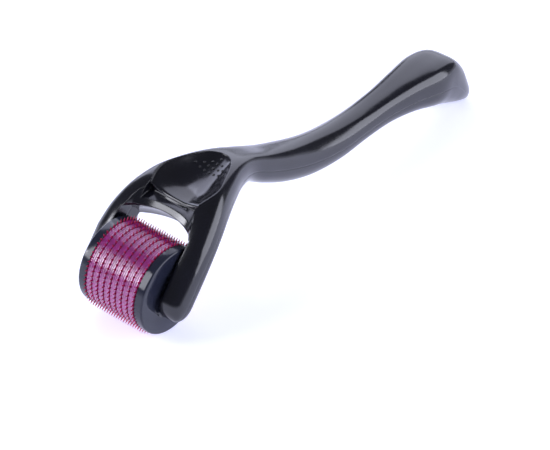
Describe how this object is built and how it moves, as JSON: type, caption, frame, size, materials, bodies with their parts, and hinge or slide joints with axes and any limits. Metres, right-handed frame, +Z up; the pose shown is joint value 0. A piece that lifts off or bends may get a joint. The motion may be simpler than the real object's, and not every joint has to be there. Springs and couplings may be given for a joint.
{
  "type": "derma roller",
  "caption": "Curved glossy handle with a forked head that holds a spinning drum of thin needle discs and magenta spacer rings, and a shallow thumb dish above it.",
  "frame": {"origin": "on the ground under the middle of the bounding box; the roller stands on its needle tips and on the heel of its tail", "axes": "+X along the drum's axle, +Y from the drum to the tail of the handle, +Z up"},
  "size_m": [0.03, 0.1394, 0.0301],
  "materials": {
    "handle_plastic": "polished black, moulded",
    "pin_steel": "ground",
    "hub_plastic": "moulded",
    "needle_steel": "etched thin sheet, crimson tint",
    "ring_plastic": "translucent magenta, moulded",
    "cap_plastic": "dark slate, satin gloss"
  },
  "bodies": {
    "handle": {"handle_upper_shell": "handle_plastic", "handle_lower_shell": "handle_plastic", "axle_pin": "pin_steel"},
    "drum": {"drum_hub": "hub_plastic", "needle_disc_1": "needle_steel", "needle_disc_2": "needle_steel", "needle_disc_3": "needle_steel", "needle_disc_4": "needle_steel", "needle_disc_5": "needle_steel", "needle_disc_6": "needle_steel", "needle_disc_7": "needle_steel", "needle_disc_8": "needle_steel", "needle_disc_9": "needle_steel", "spacer_ring_1": "ring_plastic", "spacer_ring_2": "ring_plastic", "spacer_ring_3": "ring_plastic", "spacer_ring_4": "ring_plastic", "spacer_ring_5": "ring_plastic", "spacer_ring_6": "ring_plastic", "spacer_ring_7": "ring_plastic", "spacer_ring_8": "ring_plastic", "end_cap_left": "cap_plastic", "end_cap_right": "cap_plastic"}
  },
  "joints": [
    {"name": "drum_spin", "type": "hinge", "parent": "handle", "child": "drum", "pos_m": [0, -0.05828, 0.0114], "axis": [1, 0, 0], "continuous": true}
  ]
}
